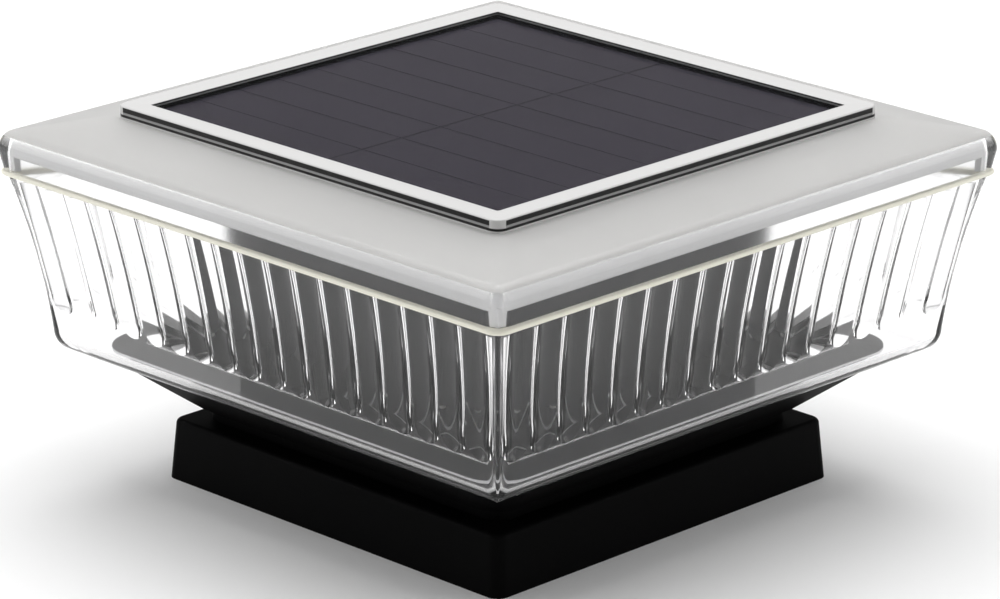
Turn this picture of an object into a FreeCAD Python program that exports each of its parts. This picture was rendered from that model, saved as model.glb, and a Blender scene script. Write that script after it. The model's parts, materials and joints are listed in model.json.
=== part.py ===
import FreeCAD, Part

import math
import os

import Sketcher

os.makedirs("parts", exist_ok=True)
doc = FreeCAD.newDocument("post_cap_light")
Vector = FreeCAD.Vector
z_axis = Vector(0, 0, 1)

# Driving sizes. Lengths are in millimetres and angles in degrees. The light stands on the lower
# edge of its post base, centred on the origin, and a corner of the square points to +X -Y.
sizes = {
    # Post base: a skirt that cups the post, a ledge that lies on it and a short neck above.
    "base_side": 99.3,
    "base_height": 13.2,
    "base_draft": 0.9,
    "base_corner": 5.0,
    "base_edge_round": 1.2,
    "ledge_thickness": 2.5,
    "socket_side": 91.0,
    "grip_rib_rise": 0.9,
    "grip_rib_width": 1.4,
    "grip_rib_inset": 18.5,
    "neck_side": 87.5,
    "neck_height": 3.3,
    "neck_corner": 5.0,
    "reach_opening_side": 58.0,
    "reach_opening_corner": 8.0,
    "base_screw_inset": 8.15,
    # Tray: the black dish that closes the lamp head from below.
    "tray_foot_shelf": 2.75,
    "tray_side": 115.6,
    "tray_slope_rise": 8.2,
    "tray_height": 10.7,
    "tray_foot_corner": 6.0,
    "tray_corner": 9.0,
    "tray_knee_round": 4.0,
    "tray_wall": 2.4,
    "tray_floor": 2.0,
    "tray_boss_side": 7.2,
    "tray_boss_height": 6.5,
    "switch_opening_gap": 1.5,
    # Lens: clear flared wall, smooth outside and reeded inside, with a flange on the tray.
    "lens_foot_side": 134.6,
    "lens_flare": 6.5,
    "lens_height": 39.3,
    "lens_bow": 1.0,
    "lens_corner": 6.2,
    "lens_foot_round": 5.4,
    "lens_wall": 2.8,
    "lens_floor": 2.2,
    "lens_inner_round": 2.8,
    "lens_flange_overlap": 5.8,
    "reed_pitch": 7.0,
    "reed_rise": 0.95,
    "reed_land": 0.6,
    "reed_root": 0.7,
    "reed_shoulder_share": 0.72,
    "reed_crown_share": 0.3,
    "reed_foot_gap": 1.6,
    "reed_head_gap": 2.4,
    # Top cover: frosted roof with a clear rim and a seat for the solar panel.
    "cover_overhang": 0.4,
    "cover_flare": 0.8,
    "cover_ledge": 1.8,
    "cover_rim_rise": 4.4,
    "cover_height": 12.2,
    "cover_corner": 6.0,
    "cover_ledge_corner": 3.0,
    "cover_rim_round": 4.2,
    "cover_wall": 2.2,
    "seat_floor": 2.0,
    "locating_rib_depth": 1.6,
    "locating_rib_wall": 1.6,
    "lead_hole_radius": 3.7,
    # Solar panel and its frame.
    "bezel_width": 4.1,
    "bezel_rise": 1.8,
    "bezel_corner": 3.0,
    "bezel_lip": 0.5,
    "bezel_cover": 1.0,
    "bezel_edge_bevel": 0.4,
    "panel_side": 103.6,
    "panel_thickness": 1.6,
    "panel_margin": 2.3,
    "cell_thickness": 0.4,
    "cell_gap": 0.5,
    "tape_thickness": 0.8,
    "tape_width": 9.0,
    # Light engine: the dark box under the cover, its floor and the column down to the tray.
    "housing_side": 79.0,
    "housing_corner": 4.0,
    "housing_wall": 2.0,
    "housing_height": 37.8,
    "floor_thickness": 2.0,
    "spigot_height": 2.5,
    "spigot_wall": 1.6,
    "post_side": 7.4,
    "post_height": 13.0,
    "column_side": 37.0,
    "column_corner": 4.0,
    "column_wall": 2.4,
    "column_floor": 2.4,
    "lead_opening_side": 22.0,
    "column_boss_side": 6.2,
    "column_boss_height": 8.0,
    # Circuit boards.
    "led_board_side": 52.0,
    "board_thickness": 1.6,
    "led_length": 3.5,
    "led_width": 2.8,
    "led_height": 1.9,
    "led_inset": 3.6,
    "led_spacing": 14.0,
    "main_board_length": 52.0,
    "main_board_width": 26.0,
    "main_board_gap": 3.5,
    "rail_height": 4.0,
    "rail_width": 4.8,
    "rail_inset": 1.2,
    "chip_side": 6.0,
    "chip_height": 1.6,
    "coil_radius": 3.0,
    "coil_height": 4.2,
    "capacitor_radius": 2.5,
    "capacitor_height": 7.0,
    "plug_length": 6.0,
    "plug_width": 4.5,
    "plug_height": 5.0,
    "part_spacing": 8.5,
    # Rechargeable cell, its holder and contacts.
    "cell_radius": 7.1,
    "cell_length": 48.5,
    "cell_tip_radius": 2.6,
    "cell_tip_length": 1.4,
    "spring_length": 5.6,
    "spring_foot_radius": 3.8,
    "spring_tip_radius": 2.3,
    "holder_height": 11.0,
    "holder_wall": 1.4,
    "holder_gap": 6.4,
    "contact_thickness": 0.4,
    "contact_side": 9.0,
    # Switch: a push button screwed through the foot of the column.
    "switch_flange_radius": 7.9,
    "switch_flange_height": 2.0,
    "switch_barrel_radius": 6.0,
    "switch_barrel_height": 11.5,
    "switch_bore_depth": 7.4,
    "button_radius": 3.9,
    "button_rise": 3.4,
    "button_bevel": 0.8,
    "button_travel": 1.6,
    "nut_radius": 8.2,
    "nut_height": 2.2,
    "terminal_height": 3.6,
    "terminal_width": 2.6,
    "terminal_thickness": 0.6,
    "terminal_spot": 3.0,
    # Screws.
    "screw_radius": 1.45,
    "screw_head_radius": 2.8,
    "screw_head_height": 2.1,
    "screw_grip": 3.5,
    "small_screw_radius": 0.95,
    "small_head_radius": 1.9,
    "small_head_height": 1.3,
    "small_screw_grip": 1.4,
    # Seals and clearances.
    "lens_seal_thickness": 0.8,
    "lens_seal_width": 2.8,
    "rim_seal_thickness": 0.9,
    "rim_seal_width": 2.0,
    "housing_seal_thickness": 0.8,
    "column_seal_thickness": 0.8,
    "column_seal_width": 2.2,
    "seat_gap": 0.4,
    "slide_gap": 0.3,
    "pilot_gap": 0.05,
    "hole_gap": 0.35,
    "boss_gap": 0.5,
}
led_count_per_side = 3
reeds_per_side = 18
reed_foot_steps = 5
bow_runs = 3
cell_columns = 2
cell_rows = 9
head_sides = 12
shank_sides = 8
corner_signs = ((1, 1), (-1, 1), (-1, -1), (1, -1))


class Size:
    """A length that knows its value and the formula that ties it to the sheet."""

    def __init__(self, formula, value):
        self.formula = formula
        self.value = value

    def __add__(self, other):
        other = as_size(other)
        return Size("(%s + %s)" % (self.formula, other.formula), self.value + other.value)

    def __sub__(self, other):
        other = as_size(other)
        return Size("(%s - %s)" % (self.formula, other.formula), self.value - other.value)

    def __mul__(self, number):
        return Size("(%s * %r)" % (self.formula, float(number)), self.value * number)

    def __truediv__(self, number):
        return Size("(%s / %r)" % (self.formula, float(number)), self.value / number)

    def __neg__(self):
        return Size("(0 - %s)" % self.formula, -self.value)


def as_size(thing):
    if isinstance(thing, Size):
        return thing
    return Size("(%r)" % float(thing), float(thing))


sheet = doc.addObject("Spreadsheet::Sheet", "sheet")
for row, alias in enumerate(sizes, start=1):
    sheet.set("A%d" % row, alias)
    sheet.set("B%d" % row, repr(sizes[alias]))
    sheet.setAlias("B%d" % row, alias)
doc.recompute()


def size(alias):
    return Size("sheet.%s" % alias, float(getattr(sheet, alias)))


def bind(thing, prop, length):
    thing.setExpression(prop, as_size(length).formula)


# Heights of the faces that the pieces share, from the ground up.
socket_roof = size("base_height") - size("ledge_thickness")
ledge_top = size("base_height")
neck_top = ledge_top + size("neck_height")
tray_floor_top = neck_top + size("tray_floor")
tray_rim = neck_top + size("tray_height")
lens_foot = tray_rim + size("lens_seal_thickness")
lens_floor_top = lens_foot + size("lens_floor")
lens_top = lens_foot + size("lens_height")
cover_foot = lens_top + size("rim_seal_thickness")
cover_top = cover_foot + size("cover_height")
bezel_top = cover_top + size("bezel_rise")
resin_top = bezel_top - size("bezel_lip")
cells_foot = cover_top - size("cell_thickness")
panel_foot = cells_foot - size("panel_thickness")
seat_top = panel_foot - size("tape_thickness")
seat_foot = seat_top - size("seat_floor")
housing_top = seat_foot - size("housing_seal_thickness")
housing_foot = housing_top - size("housing_height")
engine_floor_foot = housing_foot - size("floor_thickness")
led_board_foot = engine_floor_foot - size("board_thickness")
column_foot = tray_floor_top + size("column_seal_thickness")
column_floor_top = column_foot + size("column_floor")
engine_post_top = housing_foot + size("post_height")
flange_foot = column_foot - size("switch_flange_height")
button_foot = flange_foot - size("button_rise")
barrel_top = column_foot + size("switch_barrel_height")
main_board_foot = housing_foot + size("rail_height")

# Plan sizes and places that more than one piece uses.
neck_half = size("neck_side") / 2
base_screw_spot = neck_half - size("base_screw_inset")
lens_top_side = size("lens_foot_side") + size("lens_flare") * 2
cover_foot_side = lens_top_side + size("cover_overhang") * 2
cover_side = cover_foot_side + size("cover_flare") * 2
seat_side = size("panel_side") + size("seat_gap") * 2
bezel_side = size("panel_side") + size("bezel_width") * 2
cell_field = size("panel_side") - size("panel_margin") * 2
housing_inner_side = size("housing_side") - size("housing_wall") * 2
spigot_side = housing_inner_side - size("slide_gap") * 2
engine_screw_spot = housing_inner_side / 2 - size("boss_gap") - size("post_side") / 2
column_inner_side = size("column_side") - size("column_wall") * 2
tray_screw_spot = column_inner_side / 2 - size("boss_gap") - size("column_boss_side") / 2
led_row = size("led_board_side") / 2 - size("led_inset")
main_board_edge = size("main_board_gap") - housing_inner_side / 2
main_board_spot = main_board_edge + size("main_board_width") / 2
holder_width = (size("cell_radius") + size("slide_gap") + size("holder_wall")) * 2
holder_reach = engine_screw_spot - size("post_side") / 2 - size("holder_gap")
holder_spot = holder_reach - holder_width / 2


# ---- Sketches and features ----

def origin_plane(body, role):
    return [plane for plane in body.Origin.OriginFeatures if plane.Role == role][0]


def new_body(name):
    body = doc.addObject("PartDesign::Body", name)
    body.Label = name
    return body


def new_sketch(body, name, height):
    sketch = body.newObject("Sketcher::SketchObject", name)
    sketch.AttachmentSupport = [(origin_plane(body, "XY_Plane"), "")]
    sketch.MapMode = "FlatFace"
    bind(sketch, "AttachmentOffset.Base.z", height)
    return sketch


def constrain(sketch, constraint, length):
    index = sketch.addConstraint(constraint)
    bind(sketch, "Constraints[%d]" % index, length)


def add_rounded_square(sketch, side, corner):
    """A closed square with round corners, centred on the sketch's origin."""
    half = side.value / 2
    r = corner.value
    quarter = math.pi / 2
    runs = (
        (Vector(r - half, -half, 0), Vector(half - r, -half, 0)),
        (Vector(half, r - half, 0), Vector(half, half - r, 0)),
        (Vector(half - r, half, 0), Vector(r - half, half, 0)),
        (Vector(-half, half - r, 0), Vector(-half, r - half, 0)),
    )
    centres = (Vector(half - r, r - half, 0), Vector(half - r, half - r, 0),
               Vector(r - half, half - r, 0), Vector(r - half, r - half, 0))
    lines = []
    arcs = []
    for turn, (start, end) in enumerate(runs):
        lines.append(sketch.addGeometry(Part.LineSegment(start, end), False))
        circle = Part.Circle(centres[turn], z_axis, r)
        arc = Part.ArcOfCircle(circle, (turn - 1) * quarter, turn * quarter)
        arcs.append(sketch.addGeometry(arc, False))
    for turn in range(4):
        sketch.addConstraint(Sketcher.Constraint("Tangent", lines[turn], 2, arcs[turn], 1))
        sketch.addConstraint(Sketcher.Constraint("Tangent", arcs[turn], 2, lines[(turn + 1) % 4], 1))
        direction = "Horizontal" if turn % 2 == 0 else "Vertical"
        sketch.addConstraint(Sketcher.Constraint(direction, lines[turn]))
        if turn:
            sketch.addConstraint(Sketcher.Constraint("Equal", arcs[0], arcs[turn]))
    constrain(sketch, Sketcher.Constraint("Radius", arcs[0], r), corner)
    constrain(sketch, Sketcher.Constraint("DistanceY", lines[0], 1, -1, 1, half), side / 2)
    constrain(sketch, Sketcher.Constraint("DistanceX", -1, 1, lines[1], 1, half), side / 2)
    constrain(sketch, Sketcher.Constraint("DistanceY", -1, 1, lines[2], 1, half), side / 2)
    constrain(sketch, Sketcher.Constraint("DistanceX", lines[3], 1, -1, 1, half), side / 2)


def add_circle(sketch, x, y, radius):
    """A circle whose centre is tied to the sketch's origin."""
    x = as_size(x)
    y = as_size(y)
    centre = Vector(x.value, y.value, 0)
    circle = sketch.addGeometry(Part.Circle(centre, z_axis, radius.value), False)
    constrain(sketch, Sketcher.Constraint("Radius", circle, radius.value), radius)
    for axis, place in (("DistanceX", x), ("DistanceY", y)):
        if place.value < 0:
            link = Sketcher.Constraint(axis, circle, 3, -1, 1, -place.value)
            constrain(sketch, link, -place)
        elif place.value > 0:
            constrain(sketch, Sketcher.Constraint(axis, -1, 1, circle, 3, place.value), place)
        else:
            level = 0.0
            sketch.addConstraint(Sketcher.Constraint(axis, -1, 1, circle, 3, level))


def add_rectangle(sketch, left, right, front, back):
    """A closed rectangle with sharp corners, each side tied to the sketch's origin."""
    corners = [(left, front), (right, front), (right, back), (left, back)]
    points = [Vector(x.value, y.value, 0) for x, y in corners]
    lines = []
    for number in range(4):
        edge = Part.LineSegment(points[number], points[(number + 1) % 4])
        lines.append(sketch.addGeometry(edge, False))
    for number in range(4):
        following = lines[(number + 1) % 4]
        sketch.addConstraint(Sketcher.Constraint("Coincident", lines[number], 2, following, 1))
        direction = "Horizontal" if number % 2 == 0 else "Vertical"
        sketch.addConstraint(Sketcher.Constraint(direction, lines[number]))
    for number in (0, 2):
        for axis, place in zip(("DistanceX", "DistanceY"), corners[number]):
            if place.value < 0:
                link = Sketcher.Constraint(axis, lines[number], 1, -1, 1, -place.value)
                constrain(sketch, link, -place)
            else:
                link = Sketcher.Constraint(axis, -1, 1, lines[number], 1, place.value)
                constrain(sketch, link, place)


def add_square(sketch, side, x=0.0, y=0.0):
    x = as_size(x)
    y = as_size(y)
    add_rectangle(sketch, x - side / 2, x + side / 2, y - side / 2, y + side / 2)


def add_corner_squares(sketch, spot, side):
    for sign_x, sign_y in corner_signs:
        add_square(sketch, side, spot * sign_x, spot * sign_y)


def grow(body, kind, sketch, length, upward):
    """Adds a pad or pocket and makes sure that it changed the solid as meant."""
    before = body.Shape.Volume if body.Tip else 0.0
    feature = body.newObject("PartDesign::" + kind, sketch.Name + "_" + kind.lower())
    feature.Profile = sketch
    bind(feature, "Length", length)
    feature.Reversed = upward if kind == "Pocket" else not upward
    doc.recompute()
    gained = body.Shape.Volume - before
    if (kind == "Pad") != (gained > 0):
        raise ValueError("%s changed the volume by %.2f" % (feature.Name, gained))
    return feature


def pad(body, sketch, length, upward=True):
    return grow(body, "Pad", sketch, length, upward)


def pocket(body, sketch, length, upward=True):
    return grow(body, "Pocket", sketch, length, upward)


def loft(body, kind, levels, name):
    """A loft through rounded squares, each given as height, side and corner radius."""
    sketches = []
    for number, (height, side, corner) in enumerate(levels):
        sketch = new_sketch(body, "%s_%d" % (name, number), height)
        add_rounded_square(sketch, side, corner)
        sketches.append(sketch)
    feature = body.newObject("PartDesign::" + kind, name)
    feature.Profile = sketches[0]
    feature.Sections = sketches[1:]
    feature.Ruled = True
    doc.recompute()
    return feature


def round_levels(centre, side, corner, radius, angles):
    """Loft levels that follow an arc of the wall, angles up from level, centred at a height."""
    levels = []
    for angle in angles:
        turn = math.radians(angle)
        inset = radius * (1 - math.cos(turn))
        levels.append((centre + radius * math.sin(turn), side - inset * 2, corner - inset))
    return levels


def edges_at(shape, height, least_reach):
    """Names of the level edges at a height whose middle is far enough from the axis."""
    names = []
    for number, edge in enumerate(shape.Edges, start=1):
        box = edge.BoundBox
        level = abs(box.ZMax - height) < 0.01 and abs(box.ZMin - height) < 0.01
        middle = edge.valueAt((edge.FirstParameter + edge.LastParameter) / 2)
        reach = max(abs(middle.x), abs(middle.y))
        if level and reach > least_reach:
            names.append("Edge%d" % number)
    return names


def bevel_edges(body, height, least_reach, width, name):
    doc.recompute()
    base = body.Tip
    names = edges_at(base.Shape, height.value, least_reach.value)
    feature = body.newObject("PartDesign::Chamfer", name)
    feature.Base = (base, names)
    bind(feature, "Size", width)
    doc.recompute()
    return feature


def framed_ring(name, side, corner, width, foot, height):
    """A ring with rounded corners outside and square ones inside."""
    body = new_body(name)
    sketch = new_sketch(body, name + "_outline", foot)
    add_rounded_square(sketch, side, corner)
    add_square(sketch, side - width * 2)
    pad(body, sketch, height)
    return body


def sharp_ring(name, outer_side, inner_side, foot, height):
    body = new_body(name)
    sketch = new_sketch(body, name + "_outline", foot)
    add_square(sketch, outer_side)
    add_square(sketch, inner_side)
    pad(body, sketch, height)
    return body


# ---- Plain solids and booleans ----

def place(thing, x, y, z):
    for axis, length in (("x", x), ("y", y), ("z", z)):
        bind(thing, "Placement.Base." + axis, length)


def block(name, length, width, height, x, y, foot):
    """A box centred on x and y that stands on its foot."""
    thing = doc.addObject("Part::Box", name)
    bind(thing, "Length", length)
    bind(thing, "Width", width)
    bind(thing, "Height", height)
    place(thing, as_size(x) - as_size(length) / 2, as_size(y) - as_size(width) / 2, foot)
    return thing


def rod(name, radius, height, x, y, foot):
    thing = doc.addObject("Part::Cylinder", name)
    bind(thing, "Radius", radius)
    bind(thing, "Height", height)
    place(thing, x, y, foot)
    return thing


def prism(name, sides, radius, height, x, y, foot):
    """An upright bar with flat sides, its corners at the radius."""
    thing = doc.addObject("Part::Prism", name)
    thing.Polygon = sides
    bind(thing, "Circumradius", radius)
    bind(thing, "Height", height)
    place(thing, x, y, foot)
    return thing


def join(name, pieces):
    thing = doc.addObject("Part::MultiFuse", name)
    thing.Shapes = pieces
    thing.Label = name
    return thing


def cut(name, base, tool):
    thing = doc.addObject("Part::Cut", name)
    thing.Base = base
    thing.Tool = tool
    thing.Label = name
    return thing


def gather(name, pieces):
    thing = doc.addObject("Part::Compound", name)
    thing.Links = pieces
    thing.Label = name
    return thing


def screw(name, x, y, head_foot, reach, small, upward=True):
    """A screw whose head is drawn with twelve sides and whose shank reaches past the head."""
    kind = "small_" if small else ""
    radius = size(kind + "screw_radius")
    head_radius = size("small_head_radius" if small else "screw_head_radius")
    head_height = size("small_head_height" if small else "screw_head_height")
    head = prism(name + "_head", head_sides, head_radius, head_height, x, y, head_foot)
    shank_foot = head_foot if upward else head_foot - reach
    shank = prism(name + "_shank", shank_sides, radius, reach + head_height, x, y, shank_foot)
    return join(name, [head, shank])


def holes_at(name, spots, radius, foot, depth, sides=shank_sides):
    """Cutters for screw holes, drawn with as few sides as the screws have."""
    cutters = []
    for number, (x, y) in enumerate(spots):
        cutters.append(prism("%s_%d" % (name, number), sides, radius, depth, x, y, foot))
    return cutters


def screws_at(name, spots, head_foot, reach, small=False, upward=True):
    screws = []
    for number, (x, y) in enumerate(spots):
        screws.append(screw("%s_%d" % (name, number), x, y, head_foot, reach, small, upward))
    return gather(name, screws)


def corner_spots(spot):
    return [(spot * sign_x, spot * sign_y) for sign_x, sign_y in corner_signs]


# ---- Post base ----

def make_post_base():
    body = new_body("post_base_moulding")
    edge_centre = ledge_top - size("base_edge_round")
    top_side = size("base_side") - size("base_draft") * 2
    levels = [(as_size(0), size("base_side"), size("base_corner"))]
    levels += round_levels(edge_centre, top_side, size("base_corner"),
                           size("base_edge_round"), (0, 45, 90))
    loft(body, "AdditiveLoft", levels, "skirt")

    neck = new_sketch(body, "neck", ledge_top)
    add_rounded_square(neck, size("neck_side"), size("neck_corner"))
    pad(body, neck, size("neck_height"))

    socket = new_sketch(body, "socket", as_size(0))
    add_square(socket, size("socket_side"))
    pocket(body, socket, socket_roof)

    opening = new_sketch(body, "reach_opening", socket_roof)
    add_rounded_square(opening, size("reach_opening_side"), size("reach_opening_corner"))
    pocket(body, opening, neck_top - socket_roof)

    add_grip_ribs(body)

    spots = corner_spots(base_screw_spot)
    holes = holes_at("base_screw_hole", spots, size("screw_radius") + size("hole_gap"),
                     socket_roof, neck_top - socket_roof)
    holes += holes_at("base_screw_sink", spots, size("screw_head_radius") + size("hole_gap"),
                      socket_roof, size("screw_head_height") + size("hole_gap"), head_sides)
    return cut("post_base", body, join("base_holes", holes))


def add_grip_ribs(body):
    """Two upright ribs inside each skirt wall, which grip the post."""
    ribs = new_sketch(body, "grip_ribs", as_size(0))
    wall = size("socket_side") / 2
    tip = wall - size("grip_rib_rise")
    root = wall + size("grip_rib_rise")
    half = size("grip_rib_width") / 2
    for side in (1, -1):
        middle = (wall - size("grip_rib_inset")) * side
        add_rectangle(ribs, tip, root, middle - half, middle + half)
    ribs_pad = pad(body, ribs, socket_roof)
    pattern = body.newObject("PartDesign::PolarPattern", "grip_ribs_all_round")
    pattern.Originals = [ribs_pad]
    pattern.Axis = (origin_plane(body, "Z_Axis"), [""])
    pattern.Angle = 360
    pattern.Occurrences = 4
    body.Tip = pattern
    doc.recompute()


# ---- Tray ----

def make_tray():
    body = new_body("tray_moulding")
    knee = neck_top + size("tray_slope_rise")
    foot_side = size("neck_side") + size("tray_foot_shelf") * 2
    levels = [(neck_top, foot_side, size("tray_foot_corner"))]
    levels += round_levels(knee, size("tray_side"), size("tray_corner"),
                           size("tray_knee_round"), (-60, 0))
    levels.append((tray_rim, size("tray_side"), size("tray_corner")))
    loft(body, "AdditiveLoft", levels, "dish")

    twice_wall = size("tray_wall") * 2
    inner_side = size("tray_side") - twice_wall
    inner_corner = size("tray_corner") - size("tray_wall")
    inner_foot_corner = size("tray_foot_corner") - size("tray_wall")
    levels = [
        (tray_floor_top, foot_side - twice_wall, inner_foot_corner),
        (knee, inner_side, inner_corner),
        (tray_rim, inner_side, inner_corner),
    ]
    loft(body, "SubtractiveLoft", levels, "dish_hollow")

    bosses = new_sketch(body, "tray_bosses", tray_floor_top)
    add_corner_squares(bosses, base_screw_spot, size("tray_boss_side"))
    pad(body, bosses, size("tray_boss_height"))

    opening = new_sketch(body, "switch_opening", neck_top)
    add_circle(opening, 0, 0, size("switch_flange_radius") + size("switch_opening_gap"))
    pocket(body, opening, size("tray_floor"))

    holes = holes_at("tray_pilot", corner_spots(base_screw_spot),
                     size("screw_radius") + size("pilot_gap"), neck_top,
                     size("tray_floor") + size("tray_boss_height") - size("tray_wall"))
    holes += holes_at("tray_screw_hole", corner_spots(tray_screw_spot),
                      size("screw_radius") + size("hole_gap"), neck_top, size("tray_floor"))
    return cut("tray", body, join("tray_holes", holes))


# ---- Lens ----

def lens_outer_side(share):
    """Side of the outer square at a share of the lens height, from the bowed flare."""
    straight = size("lens_foot_side") * (1 - share) + lens_top_side * share
    return straight - size("lens_bow") * (8 * share * (1 - share))


def lens_inner_side(height):
    """Side of the plain inner wall, which leans out in a straight line."""
    share = (height.value - lens_foot.value) / size("lens_height").value
    straight = size("lens_foot_side") * (1 - share) + lens_top_side * share
    return straight - size("lens_wall") * 2


def make_lens_shell():
    body = new_body("lens_shell")
    radius = size("lens_foot_round")
    start = radius.value / size("lens_height").value
    levels = round_levels(lens_foot + radius, lens_outer_side(start), size("lens_corner"),
                          radius, (-90, -45, 0))
    for run in range(1, bow_runs + 1):
        share = start + (1 - start) * run / bow_runs
        levels.append((lens_foot + size("lens_height") * share, lens_outer_side(share),
                       size("lens_corner")))
    loft(body, "AdditiveLoft", levels, "flare")

    opening = new_sketch(body, "tray_opening", lens_foot)
    add_square(opening, size("tray_side") - size("lens_flange_overlap") * 2)
    pocket(body, opening, size("lens_floor") * 2)

    radius = size("lens_inner_round")
    corner = size("lens_corner") - size("lens_wall")
    centre = lens_floor_top + radius
    levels = round_levels(centre, lens_inner_side(centre), corner, radius, (-90, 0))
    levels.append((lens_top, lens_inner_side(lens_top), corner))
    loft(body, "SubtractiveLoft", levels, "lens_hollow")
    return body


def reed_outline(reach, depth, length):
    """A closed outline at one depth of a reed: two upright legs on a rounded foot."""
    points = []
    for step in range(reed_foot_steps + 1):
        angle = math.pi * (1 + step / reed_foot_steps)
        points.append(Vector(-depth, reach * math.cos(angle), reach * math.sin(angle)))
    points.append(Vector(-depth, reach, length))
    points.append(Vector(-depth, -reach, length))
    return Part.makePolygon(points + points[:1])


def make_reed_form(length):
    """One reed that stands along Z, is rooted in the wall at x = 0 and bulges to -X."""
    half = (size("reed_pitch") - size("reed_land")).value / 2
    rise = size("reed_rise").value
    shoulder = half * size("reed_shoulder_share").value
    crown = half * size("reed_crown_share").value
    outlines = [
        reed_outline(half, -size("reed_root").value, length),
        reed_outline(half, 0, length),
        reed_outline(shoulder, rise * (1 - (shoulder / half) ** 2), length),
        reed_outline(crown, rise, length),
    ]
    return Part.makeLoft(outlines, True, True)


def make_reeds():
    """The reeds of all four walls, which spread apart towards the wide top of the flare."""
    half_width = (size("reed_pitch") - size("reed_land")).value / 2
    foot_height = (lens_floor_top + size("lens_inner_round") + size("reed_foot_gap")).value
    dome_height = foot_height + half_width
    head_height = (lens_top - size("reed_head_gap")).value
    low = lens_inner_side(as_size(dome_height)).value / 2
    high = lens_inner_side(as_size(head_height)).value / 2
    climb = head_height - dome_height
    normal = Vector(climb, 0, low - high)
    normal.normalize()
    form = make_reed_form(math.hypot(climb, high - low))
    reeds = []
    for number in range(reeds_per_side):
        spot = (number - (reeds_per_side - 1) / 2) * size("reed_pitch").value
        foot = Vector(low, spot, dome_height)
        along = Vector(high, spot * high / low, head_height) - foot
        turn = FreeCAD.Rotation(normal, z_axis.cross(normal), along, "XZY")
        for side in range(4):
            quarter = FreeCAD.Placement(Vector(0, 0, 0), FreeCAD.Rotation(z_axis, side * 90))
            reed = doc.addObject("Part::Feature", "reed_%d_%d" % (side, number))
            reed.Shape = form
            reed.Placement = quarter * FreeCAD.Placement(foot, turn)
            reeds.append(reed)
    return reeds


def make_lens():
    """The clear wall: a hollow flared shell with upright reeds fused to its inner faces."""
    return join("lens", [make_lens_shell()] + make_reeds())


# ---- Top cover ----

def make_top_cover():
    body = new_body("cover_moulding")
    rim = cover_foot + size("cover_rim_rise")
    levels = [(cover_foot, cover_foot_side, size("cover_corner"))]
    levels += round_levels(rim, cover_side, size("cover_corner"),
                           size("cover_rim_round"), (0, 40, 75))
    ledge_side = bezel_side + size("cover_ledge") * 2
    levels.append((cover_top, ledge_side, size("cover_ledge_corner")))
    loft(body, "AdditiveLoft", levels, "roof")

    hollow = new_sketch(body, "cover_hollow", cover_foot)
    hollow_side = cover_foot_side - size("cover_wall") * 2
    add_rounded_square(hollow, hollow_side, size("cover_corner") - size("cover_wall"))
    pocket(body, hollow, seat_foot - cover_foot)

    seat = new_sketch(body, "panel_seat", seat_top)
    add_square(seat, seat_side)
    pocket(body, seat, cover_top - seat_top)

    rib_foot = lens_top - size("locating_rib_depth")
    rib = new_sketch(body, "locating_rib", rib_foot)
    rib_side = lens_inner_side(rib_foot) - size("slide_gap") * 2
    rib_corner = size("lens_corner") - size("lens_wall")
    add_rounded_square(rib, rib_side, rib_corner)
    add_rounded_square(rib, rib_side - size("locating_rib_wall") * 2,
                       rib_corner - size("locating_rib_wall"))
    pad(body, rib, seat_foot - rib_foot)

    bosses = new_sketch(body, "cover_bosses", engine_post_top)
    add_corner_squares(bosses, engine_screw_spot, size("post_side"))
    pad(body, bosses, seat_foot - engine_post_top)

    leads = new_sketch(body, "lead_hole", seat_foot)
    add_circle(leads, 0, 0, size("lead_hole_radius"))
    pocket(body, leads, size("seat_floor"))

    pilots = holes_at("cover_pilot", corner_spots(engine_screw_spot),
                      size("screw_radius") + size("pilot_gap"), engine_post_top,
                      size("screw_grip") + size("boss_gap"))
    return cut("top_cover", body, join("cover_holes", pilots))


# ---- Solar panel ----

def make_panel_bezel():
    body = new_body("panel_bezel")
    window_side = size("panel_side") - size("bezel_cover") * 2
    frame = new_sketch(body, "bezel_outline", cover_top)
    add_rounded_square(frame, bezel_side, size("bezel_corner"))
    add_square(frame, window_side)
    pad(body, frame, size("bezel_rise"))
    rebate = new_sketch(body, "bezel_rebate", cover_top)
    add_square(rebate, seat_side)
    pocket(body, rebate, resin_top - cover_top)
    bevel_edges(body, bezel_top, bezel_side / 2 - size("bezel_corner"),
                size("bezel_edge_bevel"), "bezel_edge")
    return body


def make_solar_panel():
    block("panel_board", size("panel_side"), size("panel_side"), size("panel_thickness"),
          0, 0, panel_foot)
    gap = size("cell_gap")
    pitch_x = (cell_field + gap) / cell_columns
    pitch_y = (cell_field + gap) / cell_rows
    strips = []
    for column in range(cell_columns):
        for row in range(cell_rows):
            x = pitch_x * (column - (cell_columns - 1) / 2)
            y = pitch_y * (row - (cell_rows - 1) / 2)
            name = "cell_strip_%d_%d" % (column, row)
            strips.append(block(name, pitch_x - gap, pitch_y - gap, size("cell_thickness"),
                                x, y, cells_foot))
    gather("solar_cells", strips)

    sheet_of_resin = block("resin_sheet", size("panel_side"), size("panel_side"),
                           resin_top - cells_foot, 0, 0, cells_foot)
    field = cell_field + gap * 2
    recess = block("resin_recess", field, field, size("cell_thickness"), 0, 0, cells_foot)
    cut("panel_resin", sheet_of_resin, recess)
    sharp_ring("panel_tape", size("panel_side"), size("panel_side") - size("tape_width") * 2,
               seat_top, size("tape_thickness"))


# ---- Seals ----

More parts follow.
